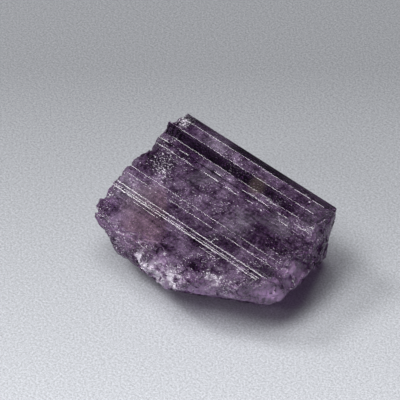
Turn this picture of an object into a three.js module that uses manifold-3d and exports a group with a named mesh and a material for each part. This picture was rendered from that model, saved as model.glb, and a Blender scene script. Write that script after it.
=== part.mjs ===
// A broken piece of a violet scapolite crystal, lying on its flattened, broken underside.
// Millimetres, +Z up. The long straight edge that it grew with runs along X at the back, and its
// stepped natural faces look up and to the front, towards -Y. Both ends and the front are broken.
import * as THREE from "three";
import * as BufferGeometryUtils from "three/addons/utils/BufferGeometryUtils.js";
import Module from "manifold-3d";

// Where the long straight edge at the back lies above the ground, with the faces laid out from it.
const BACK_EDGE_HEIGHT = 8.1;

// The natural faces across the crystal, from the back edge towards the front: how far each runs
// and how far it drops. Narrow steep ones are the risers between growth ledges.
const BACK_BEVEL = [[1.26, -0.59]];
const CREST = [[1.43, 0.08]];
const DARK_FACE = [[0.89, 0.75]];
const STRIATED_FACE = [[0.62, 0.16], [0.1, 0.15], [0.55, 0.1], [0.1, 0.14]];
const MAIN_FACE = [[4.1, 0.24], [0.05, 0.04], [0.85, 0.05], [0.05, 0.04], [1.35, 0.08]];
const LEDGE = [[0.17, 0.02], [0.1, 0.106]];
const LEDGE_COUNT = 4;
const LOWER_FACE = [[2.83, 0.45]];
const LIP = [[1.5, 0.8]];
const FRONT_SIDE = [[2.0, 2.66]];

// The natural back face drops from the edge and steps in once.
const BACK_STEP_HEIGHT = 4.9;
const BACK_STEP_DEPTH = 0.14;

// How far the natural faces are drawn past the broken ends, to be cut there.
const PAST_END = 4;
const DRAWN_LENGTH = 32;
const BELOW_GROUND = 3;

// The broken faces: a point on each and where it looks, as an azimuth and a height in degrees.
const BREAKS = [
  { at: [-0.25, -3.8, 8.0], azimuth: 176, rise: -4 },
  { at: [0.0, -7.4, 7.3], azimuth: 182.5, rise: -5 },
  { at: [0.3, -14.3, 5.5], azimuth: 184, rise: -8 },
  { at: [1.73, -14.77, 6.1], azimuth: 218, rise: 36 },
  { at: [0.84, -15.49, 4.2], azimuth: 230, rise: -8 },
  { at: [4.4, -16.85, 4.2], azimuth: 256, rise: -3 },
  { at: [10.6, -16.35, 4.6], azimuth: 268, rise: 24 },
  { at: [10.6, -16.45, 3.2], azimuth: 268, rise: -14 },
  { at: [17.4, -15.0, 4.6], azimuth: 297, rise: -2 },
  { at: [21.9, -12.0, 5.0], azimuth: 318, rise: 6 },
  { at: [22.06, -7.0, 7.0], azimuth: 4, rise: 24 },
  { at: [22.35, -5.5, 3.6], azimuth: 6, rise: -18 },
  { at: [20.98, -0.05, 8.1], azimuth: 20, rise: -5 },
  { at: [20.22, -7.0, 1.18], azimuth: -2, rise: -44 },
  { at: [18.2, -11.6, 1.2], azimuth: 300, rise: -40 },
  { at: [10.0, -14.6, 0.75], azimuth: 268, rise: -44 },
  { at: [3.2, -9.0, 1.6], azimuth: 186, rise: -44 },
  { at: [3.5, -14.1, 2.3], azimuth: 226, rise: -40 },
  { at: [11.0, -2.2, 0.9], azimuth: 92, rise: -58 },
  { at: [12.0, -8.5, 0.0], azimuth: 0, rise: -90 },
];
const HALF_SPACE_SIZE = 90;

// Notches broken out of the left end's upper edge, given like the faces.
const NOTCHES = [
  { at: [-0.05, -1.3, 8.6], azimuth: 172, rise: 35, radius: 1.4, bite: 0.5 },
  { at: [-0.08, -6.2, 7.4], azimuth: 180, rise: 20, radius: 1.0, bite: 0.5 },
  { at: [0.2, -11.4, 6.7], azimuth: 180, rise: 12, radius: 3.0, bite: 0.45 },
];
const NOTCH_DETAIL = 7;

// Shell-shaped scoops on the broken faces: wide shallow ones and small chips.
const MIDDLE = new THREE.Vector3(12, -8.5, 4.2);
const WIDE_SCOOPS = { count: 150, least: 3, most: 13, shallow: 0.12, deep: 0.4, detail: 9, turn: 0.8191725 };
const CHIPS = { count: 110, least: 1.1, most: 3.4, shallow: 0.03, deep: 0.14, detail: 6, turn: 0.7548777 };
// Chips along the edges where the broken faces cut the natural ones.
const EDGE_CHIPS = { count: 64, least: 1.0, most: 4.2, shallow: 0.08, deep: 0.42, detail: 5, turn: 0.6180340 };
const EDGE_LEAN = 0.8;
const EDGE_SEARCH = { low: -0.5, high: 0.95, halvings: 26 };
const SPREAD_UP = 0.6710436;
const SPREAD_RADIUS = 0.5497005;
const SPREAD_BITE = 0.3287301;
const STEEPEST_UP = 0.3;
const FLAT_BOTTOM_BELOW = -0.95;

// The middle of the finished piece's outline on the ground, taken to the origin.
const OUTLINE_MIDDLE = new THREE.Vector3(11.528, -8.37, 0);

const VIOLET = 0x6b4a78;
const WELD_WITHIN = 1e-5;

const wasm = await Module();
wasm.setup();

function toSolid(geometry) {
  const bare = geometry.clone();
  bare.deleteAttribute("normal");
  bare.deleteAttribute("uv");
  const merged = BufferGeometryUtils.mergeVertices(bare, WELD_WITHIN);
  return new wasm.Manifold(new wasm.Mesh({
    numProp: 3,
    vertProperties: new Float32Array(merged.attributes.position.array),
    triVerts: new Uint32Array(merged.index.array),
  }));
}

function toGeometry(solid) {
  const mesh = solid.getMesh();
  const geometry = new THREE.BufferGeometry();
  geometry.setAttribute("position", new THREE.BufferAttribute(mesh.vertProperties, 3));
  geometry.setIndex(new THREE.BufferAttribute(mesh.triVerts, 1));
  return geometry;
}

function direction(azimuth, rise) {
  const a = THREE.MathUtils.degToRad(azimuth);
  const e = THREE.MathUtils.degToRad(rise);
  return new THREE.Vector3(Math.cos(a) * Math.cos(e), Math.sin(a) * Math.cos(e), Math.sin(e));
}

// The natural faces' corners from the back edge to the front, as x running to the front and y up.
function naturalCorners() {
  const ledges = Array.from({ length: LEDGE_COUNT }, () => LEDGE).flat();
  const faces = [
    ...BACK_BEVEL, ...CREST, ...DARK_FACE, ...STRIATED_FACE, ...MAIN_FACE,
    ...ledges, ...LOWER_FACE, ...LIP, ...FRONT_SIDE,
  ];
  let across = 0;
  let height = BACK_EDGE_HEIGHT;
  const corners = [new THREE.Vector2(across, height)];
  for (const [run, drop] of faces) {
    across += run;
    height -= drop;
    corners.push(new THREE.Vector2(across, height));
  }
  return corners;
}

// The whole section across the crystal, with the back face and a floor well below the ground.
function naturalSection() {
  const corners = naturalCorners();
  return new THREE.Shape([
    new THREE.Vector2(BACK_STEP_DEPTH, -BELOW_GROUND),
    new THREE.Vector2(BACK_STEP_DEPTH, BACK_STEP_HEIGHT),
    new THREE.Vector2(0, BACK_STEP_HEIGHT + BACK_STEP_DEPTH),
    ...corners,
    new THREE.Vector2(corners.at(-1).x, -BELOW_GROUND),
  ]);
}

// How high the natural faces stand at a distance in front of the back edge.
function naturalHeight(across) {
  const corners = naturalCorners();
  for (let i = 1; i < corners.length; i += 1) {
    if (across <= corners[i].x) {
      const t = (across - corners[i - 1].x) / (corners[i].x - corners[i - 1].x);
      return corners[i - 1].y + (corners[i].y - corners[i - 1].y) * t;
    }
  }
  return -BELOW_GROUND;
}

// The stepped prism that the crystal grew as, open at neither end.
function grownPrism() {
  const prism = new THREE.ExtrudeGeometry(naturalSection(), { depth: DRAWN_LENGTH, bevelEnabled: false });
  const alongX = new THREE.Matrix4().makeBasis(
    new THREE.Vector3(0, -1, 0), new THREE.Vector3(0, 0, 1), new THREE.Vector3(-1, 0, 0),
  );
  prism.applyMatrix4(alongX);
  prism.translate(DRAWN_LENGTH - PAST_END, 0, 0);
  return toSolid(prism);
}

// Everything on the inner side of a broken face.
function innerSide({ at, azimuth, rise }) {
  const block = new THREE.BoxGeometry(HALF_SPACE_SIZE, HALF_SPACE_SIZE, HALF_SPACE_SIZE);
  block.translate(0, 0, -HALF_SPACE_SIZE / 2);
  const up = new THREE.Vector3(0, 0, 1);
  block.applyQuaternion(new THREE.Quaternion().setFromUnitVectors(up, direction(azimuth, rise)));
  block.translate(...at);
  return toSolid(block);
}

// The broken face that a ray from the middle meets first, and where.
function firstBreak(ray) {
  let nearest = { distance: Infinity };
  for (const { at, azimuth, rise } of BREAKS) {
    const normal = direction(azimuth, rise);
    const depth = new THREE.Vector3(...at).sub(MIDDLE).dot(normal);
    const towards = ray.dot(normal);
    if (towards > 0 && depth / towards < nearest.distance) {
      nearest = { distance: depth / towards, normal };
    }
  }
  return nearest;
}

const fraction = (x) => x - Math.floor(x);

function rayTo(around, up) {
  const level = Math.sqrt(1 - up * up);
  return new THREE.Vector3(level * Math.cos(around), level * Math.sin(around), up);
}

function scoopSize(i, { least, most, shallow, deep }) {
  const radius = least + (most - least) * fraction(i * SPREAD_RADIUS) ** 2;
  const bite = shallow + (deep - shallow) * fraction(i * SPREAD_BITE) ** 2;
  return { radius, bite };
}

function notchPlaces() {
  return NOTCHES.map(({ at, azimuth, rise, radius, bite }) => ({
    centre: new THREE.Vector3(...at).addScaledVector(direction(azimuth, rise), radius - bite),
    radius,
  }));
}

// The places of one kind of scoop, spread evenly over the broken sides and underside.
function scoopPlaces(kind) {
  const places = [];
  for (let i = 1; i <= kind.count; i += 1) {
    const around = fraction(i * kind.turn) * 2 * Math.PI;
    const up = 1 - 2 * fraction(i * SPREAD_UP);
    const ray = rayTo(around, up);
    const { radius, bite } = scoopSize(i, kind);
    const { distance, normal } = firstBreak(ray);
    if (up > STEEPEST_UP || normal.z < FLAT_BOTTOM_BELOW) {
      continue;
    }
    const centre = MIDDLE.clone().addScaledVector(ray, distance).addScaledVector(normal, radius - bite);
    places.push({ centre, radius });
  }
  return places;
}

// The places of the chips along the upper edges, found by raising a ray until it leaves the broken
// face above the natural ones.
function edgePlaces(kind) {
  const places = [];
  for (let i = 1; i <= kind.count; i += 1) {
    const around = fraction(i * kind.turn) * 2 * Math.PI;
    let { low, high } = EDGE_SEARCH;
    let point = MIDDLE.clone();
    let outward = new THREE.Vector3(0, 0, 1);
    for (let halving = 0; halving < EDGE_SEARCH.halvings; halving += 1) {
      const up = (low + high) / 2;
      const ray = rayTo(around, up);
      const { distance, normal } = firstBreak(ray);
      point = MIDDLE.clone().addScaledVector(ray, distance);
      outward = normal;
      if (point.z > naturalHeight(-point.y)) {
        high = up;
      } else {
        low = up;
      }
    }
    if (point.y > 0) {
      continue;
    }
    const { radius, bite } = scoopSize(i, kind);
    const lean = outward.clone().addScaledVector(new THREE.Vector3(0, 0, 1), EDGE_LEAN).normalize();
    places.push({ centre: point.addScaledVector(lean, radius - bite), radius });
  }
  return places;
}

function scoopOut(solid, detail, places) {
  let left = solid;
  for (const { centre, radius } of places) {
    const ball = new THREE.IcosahedronGeometry(radius, detail);
    ball.translate(centre.x, centre.y, centre.z);
    left = left.subtract(toSolid(ball));
  }
  return left;
}

function brokenCrystal() {
  let solid = grownPrism();
  for (const face of BREAKS) {
    solid = solid.intersect(innerSide(face));
  }
  solid = scoopOut(solid, NOTCH_DETAIL, notchPlaces());
  solid = scoopOut(solid, WIDE_SCOOPS.detail, scoopPlaces(WIDE_SCOOPS));
  solid = scoopOut(solid, CHIPS.detail, scoopPlaces(CHIPS));
  solid = scoopOut(solid, EDGE_CHIPS.detail, edgePlaces(EDGE_CHIPS));
  return solid.translate(-OUTLINE_MIDDLE.x, -OUTLINE_MIDDLE.y, -OUTLINE_MIDDLE.z);
}

function crystal() {
  const material = new THREE.MeshStandardMaterial({ color: VIOLET, roughness: 0.12, metalness: 0 });
  material.name = "violet_crystal";
  material.transparent = true;
  material.opacity = 0.6;
  const mesh = new THREE.Mesh(toGeometry(brokenCrystal()), material);
  mesh.name = "crystal";
  return mesh;
}

const group = new THREE.Group();
group.name = "scapolite_crystal";
group.add(crystal());

export default group;
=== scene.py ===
import math
import random

import bpy
import numpy as np
from mathutils import Matrix, Vector
from mathutils.kdtree import KDTree


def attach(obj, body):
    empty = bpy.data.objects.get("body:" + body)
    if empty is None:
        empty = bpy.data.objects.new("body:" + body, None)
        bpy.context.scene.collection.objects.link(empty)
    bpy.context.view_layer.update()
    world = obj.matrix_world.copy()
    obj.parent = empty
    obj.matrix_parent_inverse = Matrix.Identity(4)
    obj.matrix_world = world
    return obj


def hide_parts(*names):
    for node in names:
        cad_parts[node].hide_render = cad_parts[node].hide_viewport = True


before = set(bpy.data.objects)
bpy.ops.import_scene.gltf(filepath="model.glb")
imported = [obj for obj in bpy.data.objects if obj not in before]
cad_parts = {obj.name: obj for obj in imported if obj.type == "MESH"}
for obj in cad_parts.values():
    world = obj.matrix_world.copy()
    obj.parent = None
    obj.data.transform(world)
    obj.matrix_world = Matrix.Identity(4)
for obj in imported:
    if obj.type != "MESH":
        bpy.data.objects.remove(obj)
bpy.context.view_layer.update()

# Sizes are in millimetres, laid out from the left end of the long straight edge at the back, and
# are turned into metres in the frame's place when each mesh is finished.
MM = 0.001
OUTLINE_MIDDLE = np.array([11.528, -8.37, 0.0])

# The camera: how far it is turned and looks down, in degrees, its place, and its lens.
CAMERA_SPIN = 42.8
CAMERA_HEIGHT = 45.0
CAMERA_PLACE = (149.59, -159.51, 213.67)
CAMERA_LENS = 253.8
CAMERA_SENSOR = 36.0
CAMERA_CLIP = 0.01

# The natural faces across the crystal, from the back edge to the front: run and drop.
BACK_EDGE_HEIGHT = 8.1
BACK_BEVEL = [(1.26, -0.59)]
CREST = [(0.035, 0.042), (1.36, -0.004), (0.035, 0.042)]
DARK_FACE = [(0.855, 0.708), (0.035, 0.042)]
STRIATED_FACE = [(0.62, 0.16), (0.1, 0.15), (0.55, 0.1), (0.1, 0.14)]
MAIN_FACE = [(4.1, 0.23), (0.035, 0.042), (0.87, 0.06), (0.035, 0.042), (1.36, 0.076)]
LEDGES = [
    (0.07, 0.02), (0.08, 0.085), (0.3, 0.06), (0.05, 0.055),
    (0.12, 0.03), (0.09, 0.095), (0.27, 0.07), (0.1, 0.089),
]
LOWER_FACE = [(2.83, 0.45)]
LIP = [(1.5, 0.8)]
FRONT_SIDE = [(2.0, 2.66)]

# The step on the back face, and how far the grown prism runs past both ends and the ground.
BACK_STEP_HEIGHT = 4.9
BACK_STEP_DEPTH = 0.14
PRISM_START = -4.0
PRISM_END = 28.0
BELOW_GROUND = 3.0

# How strongly each natural face is lined by growth, in the same order.
NATURAL_FACES = [
    (BACK_BEVEL, 0.12),
    (CREST, 0.4),
    (DARK_FACE, 0.12),
    (STRIATED_FACE, 0.8),
    (MAIN_FACE, 0.35),
    (LEDGES, 0.28),
    (LOWER_FACE, 0.3),
    (LIP, 0.5),
    (FRONT_SIDE, 0.6),
]
BACK_LINES = 0.4

# How finely the natural faces are modelled, and how close together points become one.
ROW_SPACING = 0.065
PLAIN_ROW_SPACING = 1.0
ROWS_ALONG = 130
MERGE_WITHIN = 1e-5

# Growth lines: their depth, how little of it a corner's row takes, and where they fade.
LINE_SEED = 11
LINE_DEPTH = 0.009
CORNER_SHARE = 0.3
FADE_AT = (-6.0, 30.0)
FADE_OVER = (3.0, 12.0)
FADED_SHARE = 0.35

# How far the lines wander up and down, over which lengths, and how much those lengths vary.
WANDER = 0.012
WANDER_LENGTHS = (24.0, 7.0)
WANDER_SPREAD = (0.7, 1.3)

# Thin growth plates: how many, how deep, how many rows wide, from where, how long and how soft.
PLATE_COUNT = 46
PLATE_DEPTH = 0.035
PLATE_ROWS = (2, 14)
PLATE_START = (-6.0, 20.0)
PLATE_LENGTH = (4.0, 22.0)
PLATE_SOFTNESS = (0.15, 0.5)
PLATES_WHERE_LINED = 0.3

# The broken faces: a point on each, and the azimuth and rise in degrees of the way it looks.
BREAKS = [
    ((-0.25, -3.8, 8.0), 176, -4),
    ((0.0, -7.4, 7.3), 182.5, -5),
    ((0.3, -14.3, 5.5), 184, -8),
    ((1.73, -14.77, 6.1), 218, 36),
    ((0.84, -15.49, 4.2), 230, -8),
    ((4.4, -16.85, 4.2), 256, -3),
    ((10.6, -16.35, 4.6), 268, 24),
    ((10.6, -16.45, 3.2), 268, -14),
    ((17.4, -15.0, 4.6), 297, -2),
    ((21.9, -12.0, 5.0), 318, 6),
    ((22.06, -7.0, 7.0), 4, 24),
    ((22.35, -5.5, 3.6), 6, -18),
    ((20.98, -0.05, 8.1), 20, -5),
    ((20.22, -7.0, 1.18), -2, -44),
    ((18.2, -11.6, 1.2), 300, -40),
    ((10.0, -14.6, 0.75), 268, -44),
    ((3.2, -9.0, 1.6), 186, -44),
    ((3.5, -14.1, 2.3), 226, -40),
    ((11.0, -2.2, 0.9), 92, -58),
    ((12.0, -8.5, 0.0), 0, -90),
]
CEILING = ((12.0, -8.5, 11.0), 0, 90)

# Notches broken out of the left end's upper edge, given like the faces, with a radius and a bite.
NOTCHES = [
    ((-0.05, -1.3, 8.6), 172, 35, 1.4, 0.5),
    ((-0.08, -6.2, 7.4), 180, 20, 1.0, 0.5),
    ((0.2, -11.4, 6.7), 180, 12, 3.0, 0.45),
]

# The point that the broken faces are seen from, a distance past all of them, and a tiny slope.
MIDDLE = np.array([12.0, -8.5, 4.2])
FAR = 60.0
TINY = 1e-9

# Shell-shaped scoops on the broken faces: wide ones, chips and crumbs. Each kind has a count, the
# least and most radius, the shallowest and deepest bite, and the turn from one to the next.
WIDE_SCOOPS = dict(count=150, least=3.0, most=13.0, shallow=0.12, deep=0.4, turn=0.8191725)
CHIPS = dict(count=110, least=1.1, most=3.4, shallow=0.03, deep=0.14, turn=0.7548777)
CRUMBS = dict(count=1400, least=0.35, most=1.9, shallow=0.03, deep=0.12, turn=0.6180340)

# Chips along the edges where the broken faces cut the natural ones, and crumbs among them.
EDGE_CHIPS = dict(count=64, least=1.0, most=4.2, shallow=0.08, deep=0.42, turn=0.6180340)
EDGE_CRUMBS = dict(count=420, least=0.25, most=1.3, shallow=0.05, deep=0.24, turn=0.7548777)

# How far edge chips lean up, and the heights between which the edge is looked for by halving.
EDGE_LEAN = 0.8
EDGE_SEARCH = (-0.5, 0.95, 26)

# Steps from one scoop to the next that spread heights, radii and bites evenly.
SPREAD_UP = 0.6710436
SPREAD_RADIUS = 0.5497005
SPREAD_BITE = 0.3287301

# Scoops that lie further up than this, or on the flat underneath, are left out.
STEEPEST_UP = 0.3
FLAT_BOTTOM_BELOW = -0.95

# The ball that the broken faces are pressed into, and how much of its mesh is kept.
BALL_SUBDIVISIONS = 8
BALL_FLATTENED = 0.55
BLOCK_KEPT = 0.5

# Small flat facets that the broken faces are made of: how far apart, how deep and how tilted.
FACETS = [
    dict(spacing=1.5, depth=0.26, slope=0.3, seed=5),
    dict(spacing=0.55, depth=0.1, slope=0.3, seed=6),
]

# How much longer facets are along the crystal, how strongly shallow ones prevail, the most that
# one cuts as a multiple of its depth, the box that they fill, and how far they may stand out.
FACET_STRETCH = np.array([1.6, 1.0, 1.0])
FACET_SHALLOWNESS = 1.5
FACET_LIMIT = 1.6
SEED_BOX = (np.array([-1.0, -18.0, -0.5]), np.array([24.0, 1.0, 9.5]))
FACETS_OUT = 0.13

# Where the broken faces are smoother, as centre and radius, and by how much.
SMOOTHER_BREAKS = [((20.0, -12.6, 3.6), 4.0)]
SMOOTHER_BY = 0.7

# Within this depth a face counts as broken, and below this angle an edge is shaded smooth.
ON_BREAK = 0.035
SMOOTH_BELOW = 12


def deselect_all():
    bpy.ops.object.select_all(action="DESELECT")


def use_only(obj):
    """Makes obj the one selected and active object."""
    deselect_all()
    obj.select_set(True)
    bpy.context.view_layer.objects.active = obj


def coordinates(mesh):
    flat = np.empty(len(mesh.vertices) * 3)
    mesh.vertices.foreach_get("co", flat)
    return flat.reshape(-1, 3)


def set_coordinates(mesh, points):
    mesh.vertices.foreach_set("co", points.ravel())
    mesh.update()


def direction(azimuth, rise):
    around, up = math.radians(azimuth), math.radians(rise)
    level = math.cos(up)
    return np.array([math.cos(around) * level, math.sin(around) * level, math.sin(up)])


def natural_corners():
    """The natural faces' corners from the back edge, as (how far in front of it, height)."""
    across, height = 0.0, BACK_EDGE_HEIGHT
    corners = [(across, height)]
    for steps, _ in NATURAL_FACES:
        for run, drop in steps:
            across += run
            height -= drop
            corners.append((across, height))
    return corners


def natural_section():
    """The whole section, with the back face and a floor well below the ground."""
    corners = natural_corners()
    back = [
        (BACK_STEP_DEPTH, -BELOW_GROUND),
        (BACK_STEP_DEPTH, BACK_STEP_HEIGHT),
        (0.0, BACK_STEP_HEIGHT + BACK_STEP_DEPTH),
    ]
    return back + corners + [(corners[-1][0], -BELOW_GROUND)]


def natural_height(across):
    """How high the natural faces stand, at distances in front of the back edge."""
    corners = np.array(natural_corners())
    return np.interp(across, corners[:, 0], corners[:, 1], right=-BELOW_GROUND)


def section_lines():
    """How strongly each side of the whole section is lined."""
    natural = [lines for steps, lines in NATURAL_FACES for _ in steps]
    return [BACK_LINES] * 3 + natural + [BACK_LINES] * 2


def section_rows():
    """The section's loop cut into fine rows, each (across, height, how far it may move)."""
    corners = natural_section()
    lined = section_lines()
    rows = []
    for index, start in enumerate(corners):
        end = corners[(index + 1) % len(corners)]
        length = math.dist(start, end)
        natural = start[1] > 0 and end[1] > 0
        spacing = ROW_SPACING if natural else PLAIN_ROW_SPACING
        pieces = max(1, round(length / spacing))
        for step in range(pieces):
            t = step / pieces
            across = start[0] + (end[0] - start[0]) * t
            height = start[1] + (end[1] - start[1]) * t
            share = 1.0 if step else CORNER_SHARE
            rows.append((across, height, lined[index] * share * natural))
    return rows


def growth_lines(rows, along):
    """How far each row of the natural faces is raised, at each place along the crystal."""
    draw = random.Random(LINE_SEED)
    raised = np.zeros((len(rows), len(along)))
    for index, (_, _, may_move) in enumerate(rows):
        depth = draw.gauss(0.0, 1.0) * LINE_DEPTH * may_move
        fade_at = draw.uniform(*FADE_AT)
        fade_over = draw.uniform(*FADE_OVER)
        fade = FADED_SHARE + (1 - FADED_SHARE) * np.tanh((along - fade_at) / fade_over) ** 2
        raised[index] = depth * fade
        for length in WANDER_LENGTHS:
            turns = along / (length * draw.uniform(*WANDER_SPREAD)) + draw.random()
            raised[index] += WANDER * may_move * np.sin(2 * np.pi * turns)
    return raised + growth_plates(rows, along, draw)


def growth_plates(rows, along, draw):
    """Thin long plates that end part of the way along the crystal."""
    raised = np.zeros((len(rows), len(along)))
    may_move = np.array([row[2] >= PLATES_WHERE_LINED for row in rows])
    for _ in range(PLATE_COUNT):
        first = draw.randrange(len(rows))
        width = draw.randint(*PLATE_ROWS)
        start = draw.uniform(*PLATE_START)
        end = start + draw.uniform(*PLATE_LENGTH)
        depth = draw.uniform(-1.0, 1.0) * PLATE_DEPTH
        soft = draw.uniform(*PLATE_SOFTNESS)
        extent = 0.5 * (np.tanh((along - start) / soft) - np.tanh((along - end) / soft))
        raised[first:first + width] += depth * extent
    return raised * may_move[:, None]


def grown_prism():
    """The stepped prism that the crystal grew as: a grid bent into a tube, closed at its ends."""
    rows = section_rows()
    deselect_all()
    bpy.ops.mesh.primitive_grid_add(x_subdivisions=ROWS_ALONG, y_subdivisions=len(rows), size=1.0)
    prism = bpy.context.object
    prism.name = "grown_prism"
    flat = coordinates(prism.data)
    column = flat[:, 0] + 0.5
    row = np.rint((flat[:, 1] + 0.5) * len(rows)).astype(int) % len(rows)
    along = np.linspace(PRISM_START, PRISM_END, ROWS_ALONG + 1)
    raised = growth_lines(rows, along)
    across = np.array([r[0] for r in rows])
    height = np.array([r[1] for r in rows])
    slope_across = np.roll(across, -1) - np.roll(across, 1)
    slope_height = np.roll(height, -1) - np.roll(height, 1)
    size = np.hypot(slope_across, slope_height)
    out_across, out_height = -slope_height / size, slope_across / size
    lift = raised[row, np.rint(column * ROWS_ALONG).astype(int)]
    points = np.stack([
        PRISM_START + column * (PRISM_END - PRISM_START),
        -(across[row] + out_across[row] * lift),
        height[row] + out_height[row] * lift,
    ], axis=1)
    set_coordinates(prism.data, points)
    bpy.ops.object.mode_set(mode="EDIT")
    bpy.ops.mesh.select_all(action="SELECT")
    bpy.ops.mesh.remove_doubles(threshold=MERGE_WITHIN)
    bpy.ops.mesh.select_all(action="DESELECT")
    bpy.ops.mesh.select_non_manifold()
    bpy.ops.mesh.edge_face_add()
    bpy.ops.mesh.select_all(action="SELECT")
    bpy.ops.mesh.quads_convert_to_tris()
    bpy.ops.mesh.normals_make_consistent(inside=False)
    bpy.ops.object.mode_set(mode="OBJECT")
    return prism


def break_planes():
    return [(np.array(at), direction(azimuth, rise)) for at, azimuth, rise in BREAKS]


def first_break(rays):
    """How far each ray from the middle runs to a broken face, and which one it is."""
    nearest = np.full(len(rays), np.inf)
    which = np.zeros(len(rays), int)
    for index, (at, normal) in enumerate(break_planes()):
        towards = rays @ normal
        depth = (at - MIDDLE) @ normal
        distance = np.where(towards > TINY, depth / np.maximum(towards, TINY), np.inf)
        closer = distance < nearest
        nearest[closer] = distance[closer]
        which[closer] = index
    return nearest, which


def fraction(x):
    return x - np.floor(x)


def rays_to(around, up):
    level = np.sqrt(1 - up * up)
    return np.stack([level * np.cos(around), level * np.sin(around), up], axis=1)


def scoop_sizes(i, kind):
    radius = kind["least"] + (kind["most"] - kind["least"]) * fraction(i * SPREAD_RADIUS) ** 2
    bite = kind["shallow"] + (kind["deep"] - kind["shallow"]) * fraction(i * SPREAD_BITE) ** 2
    return radius, bite


def break_normals(which):
    return np.array([normal for _, normal in break_planes()])[which]


def scoop_places(kind):
    """Centres and radii of one kind of scoop, spread evenly over the broken sides and underside."""
    i = np.arange(1, kind["count"] + 1)
    up = 1 - 2 * fraction(i * SPREAD_UP)
    rays = rays_to(fraction(i * kind["turn"]) * 2 * np.pi, up)
    radius, bite = scoop_sizes(i, kind)
    distance, which = first_break(rays)
    normals = break_normals(which)
    centres = MIDDLE + rays * distance[:, None] + normals * (radius - bite)[:, None]
    kept = (up <= STEEPEST_UP) & (normals[:, 2] >= FLAT_BOTTOM_BELOW)
    return list(zip(centres[kept], radius[kept]))


def edge_places(kind):
    """The same for chips along the upper edges, found by raising rays out of the broken faces."""
    i = np.arange(1, kind["count"] + 1)
    around = fraction(i * kind["turn"]) * 2 * np.pi
    lowest, highest, halvings = EDGE_SEARCH
    low, high = np.full(len(i), lowest), np.full(len(i), highest)
    for _ in range(halvings):
        up = (low + high) / 2
        rays = rays_to(around, up)
        distance, which = first_break(rays)
        points = MIDDLE + rays * distance[:, None]
        above = points[:, 2] > natural_height(-points[:, 1])
        high = np.where(above, up, high)
        low = np.where(above, low, up)
    radius, bite = scoop_sizes(i, kind)
    lean = break_normals(which) + np.array([0.0, 0.0, EDGE_LEAN])
    lean /= np.linalg.norm(lean, axis=1)[:, None]
    centres = points + lean * (radius - bite)[:, None]
    kept = points[:, 1] <= 0
    return list(zip(centres[kept], radius[kept]))


def notch_places():
    return [(np.array(at) + direction(azimuth, rise) * (radius - bite), radius)
            for at, azimuth, rise, radius, bite in NOTCHES]


def all_scoops():
    scoops = notch_places()
    for kind in (WIDE_SCOOPS, CHIPS, CRUMBS):
        scoops += scoop_places(kind)
    for kind in (EDGE_CHIPS, EDGE_CRUMBS):
        scoops += edge_places(kind)
    return scoops


def reach(rays):
    """How far each ray from the middle runs before it leaves the broken crystal's sides."""
    distance, _ = first_break(rays)
    at, normal = np.array(CEILING[0]), direction(*CEILING[1:])
    up = rays @ normal
    ceiling = np.where(up > TINY, ((at - MIDDLE) @ normal) / np.maximum(up, TINY), FAR)
    distance = np.minimum(np.minimum(distance, ceiling), FAR)
    for centre, radius in all_scoops():
        offset = centre - MIDDLE
        along = rays @ offset
        inside = along ** 2 - offset @ offset + radius ** 2
        entry = along - np.sqrt(np.maximum(inside, 0.0))
        hit = (inside > 0) & (along > 0) & (entry > 0)
        distance = np.where(hit, np.minimum(distance, entry), distance)
    return distance


def facets(points, spacing, depth, slope, seed):
    """How deep each point lies below a face that split into small tilted facets."""
    draw = np.random.default_rng(seed)
    low, high = SEED_BOX
    size = high - low
    count = int(np.prod(size / FACET_STRETCH) / spacing ** 3)
    seeds = low + draw.random((count, 3)) * size
    tilt = draw.normal(0.0, slope, (count, 3))
    offset = draw.random(count) ** FACET_SHALLOWNESS * depth
    tree = KDTree(count)
    for index, seed_point in enumerate(seeds / FACET_STRETCH):
        tree.insert(seed_point, index)
    tree.balance()
    nearest = np.array([tree.find(point)[1] for point in points / FACET_STRETCH])
    lean = np.sum((points - seeds[nearest]) * tilt[nearest], axis=1)
    return np.clip(offset[nearest] + lean, 0.0, FACET_LIMIT * depth)


def roughness_depth(points):
    """How deep the facets cut below the broken faces, or above them where less than nothing."""
    depth = sum(facets(points, **kind) for kind in FACETS) - FACETS_OUT
    for centre, radius in SMOOTHER_BREAKS:
        away = np.linalg.norm(points - np.array(centre), axis=1) / radius
        depth *= 1 - SMOOTHER_BY * np.exp(-away ** 2)
    return depth


def broken_block():
    """A closed block with all the broken faces, and more than enough crystal above and behind."""
    deselect_all()
    bpy.ops.mesh.primitive_ico_sphere_add(subdivisions=BALL_SUBDIVISIONS, radius=1.0)
    block = bpy.context.object
    block.name = "broken_block"
    rays = coordinates(block.data) * (1.0, 1.0, BALL_FLATTENED)
    rays /= np.linalg.norm(rays, axis=1)[:, None]
    distance = reach(rays)
    points = MIDDLE + rays * distance[:, None]
    distance -= roughness_depth(points)
    points = MIDDLE + rays * distance[:, None]
    points[:, 2] = np.maximum(points[:, 2], 0.0)
    set_coordinates(block.data, points)
    thinner = block.modifiers.new("thinner", "DECIMATE")
    thinner.ratio = BLOCK_KEPT
    bpy.ops.object.modifier_apply(modifier=thinner.name)
    return block


def keep_common(piece, other):
    """Cuts piece down to what it shares with other."""
    use_only(piece)
    cut = piece.modifiers.new("common", "BOOLEAN")
    cut.operation = "INTERSECT"
    cut.solver = "MANIFOLD"
    cut.object = other
    bpy.ops.object.modifier_apply(modifier=cut.name)
    bpy.data.objects.remove(other)


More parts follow.
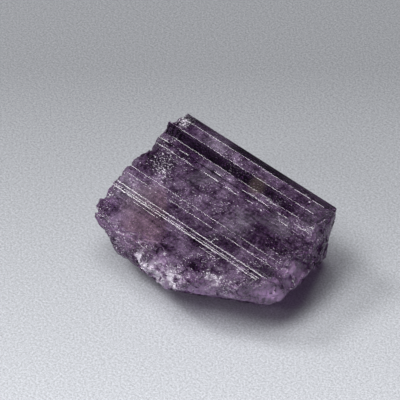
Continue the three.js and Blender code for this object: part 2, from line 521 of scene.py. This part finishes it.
def mark_breaks(piece):
    """Writes on each face whether it is a break."""
    mesh = piece.data
    centres = np.empty(len(mesh.polygons) * 3)
    mesh.polygons.foreach_get("center", centres)
    offset = centres.reshape(-1, 3) - MIDDLE
    length = np.linalg.norm(offset, axis=1)
    rays = offset / length[:, None]
    distance = reach(rays)
    surface = MIDDLE + rays * distance[:, None]
    depth = distance - length - roughness_depth(surface)
    on_ground = centres.reshape(-1, 3)[:, 2] < ON_BREAK
    broken = ((depth < ON_BREAK) | on_ground).astype(np.float32)
    mark = mesh.attributes.new("broken", "FLOAT", "FACE")
    mark.data.foreach_set("value", broken)


def to_frame(piece):
    """Turns a finished mesh from its own millimetres into metres in the frame's place."""
    set_coordinates(piece.data, (coordinates(piece.data) - OUTLINE_MIDDLE) * MM)


def build_crystal():
    crystal = grown_prism()
    keep_common(crystal, broken_block())
    crystal.name = "violet_crystal"
    crystal.data.name = "violet_crystal"
    crystal.data.materials.clear()
    crystal.data.materials.append(crystal_material())
    mark_breaks(crystal)
    to_frame(crystal)
    use_only(crystal)
    bpy.ops.object.shade_smooth_by_angle(angle=math.radians(SMOOTH_BELOW))
    return crystal


# What streaks and veins always have: detail and roughness, and how much veins bend and how wide.
STREAK_DETAIL = 2.0
STREAK_ROUGHNESS = 0.6
VEIN_DETAIL = 3.0
VEIN_BEND = 1.2
VEIN_WIDTH = 0.016


class Recipe:
    """A material's nodes, added one by one. Pattern sizes are in millimetres."""

    def __init__(self, name):
        self.material = bpy.data.materials.new(name)
        self.material.use_nodes = True
        self.tree = self.material.node_tree
        self.tree.nodes.clear()
        self.place = self.add("ShaderNodeTexCoord").outputs["Object"]

    def add(self, kind, inputs=None, **settings):
        node = self.tree.nodes.new(kind)
        for key, value in settings.items():
            setattr(node, key, value)
        for key, value in (inputs or {}).items():
            socket = node.inputs[key]
            if isinstance(value, bpy.types.NodeSocket):
                self.tree.links.new(value, socket)
            else:
                socket.default_value = value
        return node

    def math(self, operation, *values):
        return self.add("ShaderNodeMath", dict(enumerate(values)), operation=operation).outputs[0]

    def times(self, *values):
        product = values[0]
        for value in values[1:]:
            product = self.math("MULTIPLY", product, value)
        return product

    def plus(self, *values):
        total = values[0]
        for value in values[1:]:
            total = self.math("ADD", total, value)
        return total

    def weighed(self, patterns, weights):
        """The sum of the named patterns, each times its weight."""
        return self.plus(*[self.times(patterns[name], weight) for name, weight in weights.items()])

    def between(self, value, low, high, to_low=0.0, to_high=1.0):
        """Maps low to high on to a new range, and keeps what lies outside at its ends."""
        inputs = {
            "Value": value,
            "From Min": low,
            "From Max": high,
            "To Min": to_low,
            "To Max": to_high,
        }
        return self.add("ShaderNodeMapRange", inputs).outputs[0]

    def noise(self, size, detail, roughness):
        inputs = {
            "Vector": self.place,
            "Scale": 1 / (size * MM),
            "Detail": detail,
            "Roughness": roughness,
        }
        return self.add("ShaderNodeTexNoise", inputs).outputs["Fac"]

    def crackle(self, size):
        """How far each place is from the nearest of many scattered points."""
        inputs = {"Vector": self.place, "Scale": 1 / (size * MM)}
        return self.add("ShaderNodeTexVoronoi", inputs).outputs["Distance"]

    def veins(self, size):
        """Thin curving lines."""
        inputs = {
            "Vector": self.place,
            "Scale": 1 / (size * MM),
            "Detail": VEIN_DETAIL,
            "Distortion": VEIN_BEND,
        }
        value = self.add("ShaderNodeTexNoise", inputs).outputs["Fac"]
        away = self.math("ABSOLUTE", self.plus(value, -0.5))
        return self.between(away, 0.0, VEIN_WIDTH, 1.0, 0.0)

    def cells(self, size):
        """One random value for each of many small flat-sided cells."""
        inputs = {"Vector": self.place, "Scale": 1 / (size * MM)}
        return self.add("ShaderNodeTexVoronoi", inputs).outputs["Color"]

    def streaks(self, along, across):
        """Noise drawn out along the crystal's long axis."""
        scale = (1 / (along * MM), 1 / (across * MM), 1 / (across * MM))
        stretched = self.add("ShaderNodeMapping", {"Vector": self.place, "Scale": scale})
        inputs = {
            "Vector": stretched.outputs[0],
            "Scale": 1.0,
            "Detail": STREAK_DETAIL,
            "Roughness": STREAK_ROUGHNESS,
        }
        return self.add("ShaderNodeTexNoise", inputs).outputs["Fac"]

    def mix(self, factor, first, second):
        """Goes from the first colour to the second. These numbers are a colour mix's sockets."""
        inputs = {0: factor, 6: first, 7: second}
        return self.add("ShaderNodeMix", inputs, data_type="RGBA").outputs[2]

    def left_of(self, limit, soft=0.06):
        """One left of a distance along the camera's right, falling to nothing just past it."""
        spin = math.radians(CAMERA_SPIN)
        right = np.array([math.cos(spin), math.sin(spin), 0.0])
        limit -= float(OUTLINE_MIDDLE @ right)
        inputs = {0: self.place, 1: tuple(right)}
        along = self.add("ShaderNodeVectorMath", inputs, operation="DOT_PRODUCT").outputs["Value"]
        return self.between(along, (limit - soft) * MM, (limit + soft) * MM, 1.0, 0.0)

    def away_from(self, centre):
        """How many metres each place is from one on the crystal, given in millimetres."""
        inputs = {0: self.place, 1: tuple((np.array(centre) - OUTLINE_MIDDLE) * MM)}
        return self.add("ShaderNodeVectorMath", inputs, operation="DISTANCE").outputs["Value"]

    def spot(self, centre, radius, soft=0.5):
        """One near a place on the crystal, falling to nothing at radius."""
        away = self.away_from(centre)
        return self.between(away, radius * soft * MM, radius * MM, 1.0, 0.0)

    def bands(self, limits, soft=0.04):
        """One between each pair of distances in front of the crystal's back edge."""
        place = self.add("ShaderNodeSeparateXYZ", {"Vector": self.place}).outputs["Y"]
        across = self.plus(self.times(place, -1 / MM), -float(OUTLINE_MIDDLE[1]))
        total = 0.0
        for start, end in limits:
            after = self.between(across, start - soft, start + soft)
            before = self.between(across, end - soft, end + soft, 1.0, 0.0)
            total = self.math("MAXIMUM", total, self.times(after, before))
        return total

    def cracks(self, curves, waver):
        """Thin wavering curves, each a shell's edge seen through a spot."""
        total = 0.0
        wavered = self.times(self.plus(waver, -0.5), CRACK_WAVER * MM)
        for middle, radius, shown_at, shown_for, milk in curves:
            off = self.plus(self.away_from(middle), -radius * MM, wavered)
            line = self.between(self.math("ABSOLUTE", off), 0.0, CRACK_WIDTH * MM, milk, 0.0)
            total = self.plus(total, self.times(line, self.spot(shown_at, shown_for)))
        return total

    def spots(self, places, soft=0.5):
        """The strongest of several spots at each place."""
        total = self.spot(*places[0], soft)
        for place in places[1:]:
            total = self.math("MAXIMUM", total, self.spot(*place, soft))
        return total


# The crystal's colours, from glassy to milky; some of them are painted light and shade, as marked.
DARK_PLUM = (0.13, 0.055, 0.15, 1.0)
VIOLET = (0.4, 0.28, 0.45, 1.0)
ROSE = (0.42, 0.26, 0.36, 1.0)
GREY_LILAC = (0.46, 0.41, 0.5, 1.0)
BROKEN_VIOLET = (0.26, 0.14, 0.3, 1.0)
# Painted light: a pale bright violet that stands in for light coming through the crystal and out of
# its lower front and right end.
PAINTED_GLOW_VIOLET = (0.74, 0.46, 0.82, 1.0)
CRUMBLED = (0.1, 0.085, 0.11, 1.0)
BROWN = (0.16, 0.12, 0.1, 1.0)
# Painted shade: a near-black for the back bevel and the steep faces, which look dark for how the
# light falls on them.
PAINTED_SHADE_BLACK = (0.06, 0.03, 0.07, 1.0)
# Partly painted highlight: the pale of the flecks, many of which stand in for glints off tiny
# facets; the frost takes it too.
PALE_FLECK_AND_GLINT = (0.9, 0.83, 0.94, 1.0)

# Where the crystal shows each kind of mark, some of them painted light: centre and radius. Calm
# places have fewer flecks.
FROSTED = [
    ((8.8, -16.6, 4.0), 1.5),
    ((11.0, -16.4, 3.7), 1.7),
    ((13.3, -16.4, 4.4), 1.5),
    ((16.9, -14.1, 5.9), 1.2),
    ((1.2, -1.8, 8.6), 0.9),
    ((0.9, -14.9, 4.6), 0.7),
]
# Places with more flecks, many of them painted glints, and a paler tone.
SPARKLING = [
    ((15.5, -13.0, 6.2), 2.1),
    ((2.6, -11.6, 6.7), 2.0),
    ((11.5, -7.1, 7.2), 1.9),
    ((4.6, -8.2, 7.1), 2.4),
    ((20.6, -3.4, 7.9), 2.4),
    ((21.4, -8.4, 6.9), 2.6),
    ((17.2, -14.2, 5.2), 1.5),
    ((21.6, -12.3, 6.0), 1.6),
]
CALM = [
    ((11.6, -14.4, 6.0), 2.0),
    ((5.6, -11.9, 6.6), 3.4),
    ((7.0, -14.0, 5.8), 3.2),
    ((3.4, -13.6, 6.2), 3.2),
]
CRUMBLY = [
    ((0.9, -1.0, 8.5), 1.6),
    ((2.6, -6.6, 7.2), 1.9),
    ((13.85, -10.95, 6.88), 0.8),
]
# Painted highlights: a few single glints, each with a place of its own.
PAINTED_GLINTS = [
    ((17.75, -1.07, 8.6), 0.16),
    ((18.74, -1.66, 8.65), 0.13),
    ((21.41, -3.14, 8.24), 0.15),
    ((22.1, -3.2, 8.0), 0.18),
]
ROSY = [
    ((5.6, -11.9, 6.6), 3.4),
    ((7.0, -14.0, 5.8), 3.2),
]
# Partly painted reflection: pale grey patches that stand in for a grey sheen on the top faces, with
# a little milk of veils inside.
VEILS_AND_PAINTED_SHEEN = [
    ((3.9, -11.8, 6.6), 2.6),
    ((14.6, -8.3, 7.1), 2.2),
    ((6.1, -2.3, 8.65), 2.2),
]
DEEP = [
    ((0.9, -1.6, 8.5), 1.9),
    ((1.6, -4.4, 7.7), 2.0),
    ((19.2, -7.5, 7.1), 3.4),
    ((3.6, -4.6, 7.6), 2.6),
    ((8.6, -10.3, 6.9), 1.8),
    ((10.9, -14.8, 5.9), 1.7),
    ((7.6, -16.0, 5.3), 1.5),
    ((4.3, -16.1, 4.6), 1.0),
    ((1.8, -6.5, 7.2), 1.4),
    ((12.8, -14.7, 5.9), 1.6),
    ((19.8, -10.6, 6.9), 2.0),
]
# Painted light: where the broken faces glow with light that comes through the crystal; there they
# are also milkier and rougher.
PAINTED_GLOW_PLACES = [
    ((10.5, -15.6, 2.4), 3.6),
    ((15.5, -14.6, 3.0), 3.6),
    ((20.0, -13.4, 3.9), 2.5),
    ((22.3, -11.4, 5.2), 2.6),
    ((22.9, -8.5, 5.2), 2.4),
]
BROWNED = [((12.9, -3.2, 8.2), 1.3)]

# Curved cracks: each one's middle and radius, where it shows and how far, and how milky it is.
CRACKS = [
    ((4.5, -5.1, 5.8), 10.7, (6.8, -15.4, 5.8), 4.6, 0.5),
    ((20.7, -17.9, 7.0), 8.34, (20.4, -9.6, 7.0), 2.8, 0.35),
    ((30.2, -4.5, 7.2), 17.7, (12.8, -7.4, 7.2), 3.0, 0.15),
    ((6.6, -2.5, 8.6), 1.55, (5.9, -1.4, 8.6), 1.5, 0.4),
]
CRACK_WIDTH = 0.09
CRACK_WAVER = 0.35

# A healed crack, seen edge on, that ends the rosy patch: how far along the camera's right.
ROSY_END = -2.06

# Faces that stay clear, and are darkened with painted shade: from and to, in front of the back edge.
CLEAR_BEVEL = (-0.5, 1.26)
CLEAR_FACES = [(2.69, 3.58), (4.3, 4.4)]

# Where the bevel is clearest and its painted shade darkest, and the end where the other clear faces
# cloud over and their painted shade fades: centre and radius.
CLEAREST_BEVEL = ((11.2, -0.5, 8.3), 4.6)
CLOUDED_END = ((20.6, -3.2, 8.2), 7.0)

# The crystal's noise patterns: size, detail and roughness.
CLOUDS = (3.6, 3.0, 0.55)
MOTTLE = (1.1, 4.0, 0.65)
FINE = (0.3, 3.0, 0.7)
SPECKLED_AREAS = (4.4, 2.0, 0.5)
FROST = (0.16, 3.0, 0.6)

# Streaks drawn out along the crystal: length and width.
GRAIN = (0.24, 0.12)
MILK_STREAKS = (16.0, 0.22)
BUMP_STREAKS = (14.0, 0.13)

# The sizes of the flat-sided panes and chips, of the wisps, and of the splits on broken faces.
PANE_SIZE = 3.4
CHIP_SIZE = 0.7
WISP_SIZE = 1.5
SPLIT_SIZE = 0.5

# How soft the spots' rims are, as the share of the radius that is full.
SPARKLING_FULL = 0.3
FAINT_FULL = 0.2
GLOWING_FULL = 0.1
CLEAREST_FULL = 0.7
CLOUDED_FULL = 0.3

# From where to where on its pattern each look sets in. Two more numbers say from and to how much.
PANES_SET_IN = (0.7, 0.72)
SPECKLED_SETS_IN = (0.46, 0.6)
WISPS_SET_IN = (0.46, 0.6)
FROST_SETS_IN = (0.6, 0.8)
FLECKS_SET_IN = (0.68, 0.73)
BEVEL_CLEARS = (0.0, 1.0, 0.5, 1.0)
FACES_CLOUD_OVER = (0.0, 1.0, 1.0, 0.35)
GLOW_SETS_IN = (0.38, 0.6, 0.25, 1.0)
VIOLET_SETS_IN = (0.43, 0.59)
BROKEN_VIOLET_SETS_IN = (0.35, 0.6, 0.2, 0.9)
CRUMBLED_SETS_IN = (0.4, 0.6, 0.9, 0.2)
MILK_BY_TONE = (0.42, 0.62, 0.06, 0.42)
MILK_BY_STREAK = (0.3, 0.7, -0.1, 0.1)
MILK_BY_CLEARNESS = (0.0, 1.0, 1.0, 0.15)
ROUGHNESS_BY_CLOUD = (0.35, 0.7, 0.02, 0.1)

# How much the chips add to the mottle that the frost follows.
CHIPS_IN_FROST = 0.5

# How much each pattern adds to the chance of a fleck, many of which are painted glints.
FLECK_CHANCE = {
    "speckled": 0.07,
    "crumbly": 0.1,
    "frosted": 0.15,
    "broken": 0.03,
    "panes": -0.1,
    "calm": -0.07,
    "sparkling": 0.06,
}

# How much each pattern adds to the tone, which runs from dark and glassy to pale and milky.
TONE = {
    "mottle": 0.3,
    "clouds": 0.35,
    "fine": 0.35,
    "deep": -0.06,
    "crumbly": -0.04,
    "sparkling": 0.055,
    "speckled": 0.03,
}

# How far each tint covers what is below it, where its own pattern is full.
ROSE_COVERS = 0.85
LILAC_COVERS = 0.45
FROST_COVERS = 0.8
PAINTED_SHADE_COVERS = 0.93
BROWN_COVERS = 0.8

# How much each pattern adds to the milk, which is the share of light that isn't let through.
MILK = {"veiled": 0.05, "wisps": 0.3, "broken": 0.12, "glowing": 0.5, "flecks": 0.6}
MILK_IN_FROST = 0.4
MILK_IN_BROWN = 0.25
MOST_MILK = 0.95

# Fine relief: how much each pattern raises the surface, and the depth and strength of it all.
LINE_RELIEF = 0.1
SPLIT_RELIEF = 1.2
BREAK_RELIEF = 0.35
FROST_RELIEF = 0.9
FLECK_RELIEF = -0.5
RELIEF_DEPTH = 0.08
RELIEF_STRENGTH = 0.7

# How much each pattern adds to the roughness.
ROUGHNESS = {"broken": 0.15, "glowing": 0.25, "flecks": 0.25}

# How the clear crystal bends light, the colour that it lets through, and how much of the rest it
# takes out.
INDEX_OF_REFRACTION = 1.55
ABSORPTION_COLOUR = (0.34, 0.06, 0.43, 1.0)
ABSORPTION_DENSITY = 60.0


def clear_and_shaded_bands(recipe, grown):
    """One where the crystal is clear and darkened with painted shade: on the back bevel and on the
    steep faces.
    """
    bevel = recipe.between(recipe.spot(*CLEAREST_BEVEL, CLEAREST_FULL), *BEVEL_CLEARS)
    bevel = recipe.times(bevel, recipe.bands([CLEAR_BEVEL]))
    faces = recipe.between(recipe.spot(*CLOUDED_END, CLOUDED_FULL), *FACES_CLOUD_OVER)
    faces = recipe.times(faces, recipe.bands(CLEAR_FACES))
    return recipe.times(grown, recipe.plus(bevel, faces))


def frosting(recipe, mottle):
    """One where the crystal is frosted white, in patches and chips."""
    chips = recipe.times(recipe.cells(CHIP_SIZE), CHIPS_IN_FROST)
    patchy = recipe.between(recipe.plus(mottle, chips), *FROST_SETS_IN)
    return recipe.times(recipe.spots(FROSTED), patchy)


def flecks_and_painted_glints(recipe, patterns):
    """One on small white flecks, many of them painted glints, and on the few painted glints that
    have a place of their own.
    """
    chance = recipe.plus(recipe.streaks(*GRAIN), recipe.weighed(patterns, FLECK_CHANCE))
    scattered = recipe.between(chance, *FLECKS_SET_IN)
    return recipe.math("MAXIMUM", scattered, recipe.spots(PAINTED_GLINTS))


def crystal_patterns(recipe):
    """The patterns that the looks are mixed from, by name."""
    broken = recipe.add("ShaderNodeAttribute", attribute_name="broken").outputs["Fac"]
    grown = recipe.math("SUBTRACT", 1.0, broken)
    mottle = recipe.noise(*MOTTLE)
    wispy = recipe.between(mottle, *WISPS_SET_IN)
    glowing = recipe.between(mottle, *GLOW_SETS_IN)
    patterns = {
        "broken": broken,
        "grown": grown,
        "clouds": recipe.noise(*CLOUDS),
        "mottle": mottle,
        "fine": recipe.noise(*FINE),
        "panes": recipe.between(recipe.cells(PANE_SIZE), *PANES_SET_IN),
        "speckled": recipe.between(recipe.noise(*SPECKLED_AREAS), *SPECKLED_SETS_IN),
        "wisps": recipe.times(recipe.veins(WISP_SIZE), wispy),
        # Clear where it grew, and there darkened with painted shade.
        "clear": clear_and_shaded_bands(recipe, grown),
        "frosted": frosting(recipe, mottle),
        # Painted glow of light through the crystal, on broken faces only.
        "glowing": recipe.times(recipe.spots(PAINTED_GLOW_PLACES, GLOWING_FULL), broken, glowing),
        "crumbly": recipe.spots(CRUMBLY),
        "sparkling": recipe.spots(SPARKLING, SPARKLING_FULL),
        "calm": recipe.spots(CALM),
        # Pale grey patches: painted sheen, and a little milk.
        "veiled": recipe.spots(VEILS_AND_PAINTED_SHEEN, FAINT_FULL),
        "deep": recipe.spots(DEEP, FAINT_FULL),
        "browned": recipe.spots(BROWNED),
    }
    # White flecks in the crystal, many of them painted glints.
    patterns["flecks"] = flecks_and_painted_glints(recipe, patterns)
    patterns["tone"] = recipe.weighed(patterns, TONE)
    return patterns


def crystal_colour(recipe, patterns):
    """Plum to violet by the tone, and over it one tint after another, each where it belongs; some
    tints are painted light and shade.
    """
    rosy = recipe.times(recipe.spots(ROSY), recipe.left_of(ROSY_END), ROSE_COVERS)
    # Painted sheen and the panes, in a pale grey lilac.
    pale = recipe.times(recipe.plus(patterns["veiled"], patterns["panes"]), LILAC_COVERS)
    broken_mottle = recipe.between(patterns["mottle"], *BROKEN_VIOLET_SETS_IN)
    crumbs = recipe.between(patterns["fine"], *CRUMBLED_SETS_IN)
    frost = recipe.times(patterns["frosted"], FROST_COVERS)
    tints = [
        (rosy, ROSE),
        (pale, GREY_LILAC),
        (recipe.times(patterns["broken"], broken_mottle), BROKEN_VIOLET),
        # Painted light: the glow of light coming through the crystal.
        (patterns["glowing"], PAINTED_GLOW_VIOLET),
        (recipe.times(patterns["crumbly"], crumbs), CRUMBLED),
        # Pale flecks and painted glints, and the frost.
        (recipe.math("MAXIMUM", patterns["flecks"], frost), PALE_FLECK_AND_GLINT),
        # Painted shade on the clear faces.
        (recipe.times(patterns["clear"], PAINTED_SHADE_COVERS), PAINTED_SHADE_BLACK),
        (recipe.times(patterns["browned"], BROWN_COVERS), BROWN),
    ]
    colour = recipe.mix(recipe.between(patterns["tone"], *VIOLET_SETS_IN), DARK_PLUM, VIOLET)
    for share, tint in tints:
        colour = recipe.mix(share, colour, tint)
    return colour


def crystal_clearness(recipe, patterns):
    """The share of light that the surface lets through: all but the milk."""
    milk = recipe.plus(
        recipe.between(patterns["tone"], *MILK_BY_TONE),
        recipe.weighed(patterns, MILK),
        recipe.cracks(CRACKS, patterns["fine"]),
        recipe.times(patterns["frosted"], patterns["broken"], MILK_IN_FROST),
    )
    streaked = recipe.between(recipe.streaks(*MILK_STREAKS), *MILK_BY_STREAK)
    milk = recipe.plus(milk, recipe.times(patterns["grown"], streaked))
    milk = recipe.times(milk, recipe.between(patterns["clear"], *MILK_BY_CLEARNESS))
    milk = recipe.plus(milk, recipe.times(patterns["browned"], MILK_IN_BROWN))
    return recipe.math("SUBTRACT", 1.0, recipe.math("MINIMUM", MOST_MILK, milk))


def crystal_relief(recipe, patterns):
    """Relief too fine for the mesh: growth lines, splits and frost on breaks, and flecks' pits."""
    broken = patterns["broken"]
    frost = recipe.plus(BREAK_RELIEF, recipe.times(patterns["frosted"], FROST_RELIEF))
    height = recipe.plus(
        recipe.times(recipe.streaks(*BUMP_STREAKS), patterns["grown"], LINE_RELIEF),
        recipe.times(recipe.crackle(SPLIT_SIZE), broken, SPLIT_RELIEF),
        recipe.times(recipe.noise(*FROST), broken, frost),
        recipe.times(patterns["flecks"], FLECK_RELIEF),
    )
    inputs = {"Height": height, "Distance": RELIEF_DEPTH * MM, "Strength": RELIEF_STRENGTH}
    return recipe.add("ShaderNodeBump", inputs).outputs[0]


def crystal_roughness(recipe, patterns):
    clouded = recipe.between(patterns["clouds"], *ROUGHNESS_BY_CLOUD)
    return recipe.plus(clouded, recipe.weighed(patterns, ROUGHNESS))


def crystal_material():
    """Clear violet crystal: striated and glassy where it grew, frosted where it broke."""
    recipe = Recipe("violet_crystal")
    patterns = crystal_patterns(recipe)
    surface = recipe.add("ShaderNodeBsdfPrincipled", {
        "Base Color": crystal_colour(recipe, patterns),
        "Roughness": crystal_roughness(recipe, patterns),
        "IOR": INDEX_OF_REFRACTION,
        "Transmission Weight": crystal_clearness(recipe, patterns),
        "Normal": crystal_relief(recipe, patterns),
    })
    inside = recipe.add("ShaderNodeVolumeAbsorption", {
        "Color": ABSORPTION_COLOUR,
        "Density": ABSORPTION_DENSITY,
    })
    recipe.add("ShaderNodeOutputMaterial", {
        "Surface": surface.outputs[0],
        "Volume": inside.outputs[0],
    })
    return recipe.material


# The floor: its size in metres, how far each way in millimetres its painted shade runs from light to
# dark, and its grain. The painted shade stands in for the lamps' light falling off towards the back.
FLOOR_SIZE = 0.9
FLOOR_SHADE_REACH = 30
FLOOR_SHADE = (0.7, 0.3)
FLOOR_GRAIN = (0.22, 2.0, 0.8)
FLOOR_GRAIN_CONTRAST = (0.3, 0.7, 0.7, 1.3)
FLOOR_TINT = {"Red": 0.97, "Green": 0.995, "Blue": 1.06}
FLOOR_ROUGHNESS = 0.9


def floor_material():
    """Pale grey with a fine grain, and painted shade that makes it darker away from the camera."""
    recipe = Recipe("pale_floor")
    spin = (0.0, 0.0, -math.radians(CAMERA_SPIN))
    turned = recipe.add("ShaderNodeMapping", {"Vector": recipe.place, "Rotation": spin}).outputs[0]
    away = recipe.add("ShaderNodeSeparateXYZ", {"Vector": turned}).outputs["Y"]
    furthest = FLOOR_SHADE_REACH * MM
    # Painted shade: lighter towards the camera, darker away from it.
    shade = recipe.between(away, -furthest, furthest, *FLOOR_SHADE)
    grain = recipe.between(recipe.noise(*FLOOR_GRAIN), *FLOOR_GRAIN_CONTRAST)
    light = recipe.times(shade, grain)
    tinted = {name: recipe.times(light, share) for name, share in FLOOR_TINT.items()}
    colour = recipe.add("ShaderNodeCombineColor", tinted).outputs[0]
    inputs = {"Base Color": colour, "Roughness": FLOOR_ROUGHNESS}
    surface = recipe.add("ShaderNodeBsdfPrincipled", inputs)
    recipe.add("ShaderNodeOutputMaterial", {"Surface": surface.outputs[0]})
    return recipe.material


def add_floor():
    deselect_all()
    bpy.ops.mesh.primitive_plane_add(size=FLOOR_SIZE)
    floor = bpy.context.object
    floor.name = "floor"
    floor.data.materials.append(floor_material())


def add_camera():
    spin, height = math.radians(CAMERA_SPIN), math.radians(CAMERA_HEIGHT)
    level = math.cos(height)
    right = Vector((math.cos(spin), math.sin(spin), 0.0))
    look = Vector((-math.sin(spin) * level, math.cos(spin) * level, -math.sin(height)))
    up = right.cross(look)
    data = bpy.data.cameras.new("camera")
    data.lens = CAMERA_LENS
    data.sensor_width = CAMERA_SENSOR
    data.clip_start = CAMERA_CLIP
    camera = bpy.data.objects.new("camera", data)
    bpy.context.scene.collection.objects.link(camera)
    turn = Matrix((right, up, -look)).transposed().to_4x4()
    place = (np.array(CAMERA_PLACE) - OUTLINE_MIDDLE) * MM
    camera.matrix_world = Matrix.Translation(place) @ turn
    bpy.context.scene.camera = camera


# Soft round lamps that face the crystal: name, place and width in metres, and power in watts.
LAMPS = [
    ("overhead", (-0.06, 0.06, 0.48), 0.32, 1.0),
    ("key", (-0.1, -0.2, 0.45), 0.25, 1.15),
    ("left", (-0.36, -0.1, 0.4), 0.14, 1.05),
    ("front_left", (-0.265, -0.4025, 0.2315), 0.12, 0.35),
]
ROOM_COLOUR = (0.9, 0.93, 1.0, 1.0)
ROOM_STRENGTH = 0.035


def add_lamp(name, place, size, power):
    data = bpy.data.lights.new(name, "AREA")
    data.shape = "DISK"
    data.size = size
    data.energy = power
    lamp = bpy.data.objects.new(name, data)
    lamp.location = place
    lamp.rotation_euler = (-Vector(place)).to_track_quat("-Z", "Y").to_euler()
    bpy.context.scene.collection.objects.link(lamp)


def add_lights():
    for lamp in LAMPS:
        add_lamp(*lamp)
    world = bpy.data.worlds.new("room")
    world.use_nodes = True
    background = world.node_tree.nodes["Background"]
    background.inputs["Color"].default_value = ROOM_COLOUR
    background.inputs["Strength"].default_value = ROOM_STRENGTH
    bpy.context.scene.world = world
    bpy.context.scene.view_settings.view_transform = "Standard"


add_camera()
add_lights()
add_floor()
crystal = build_crystal()
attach(crystal, "root")
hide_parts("crystal")
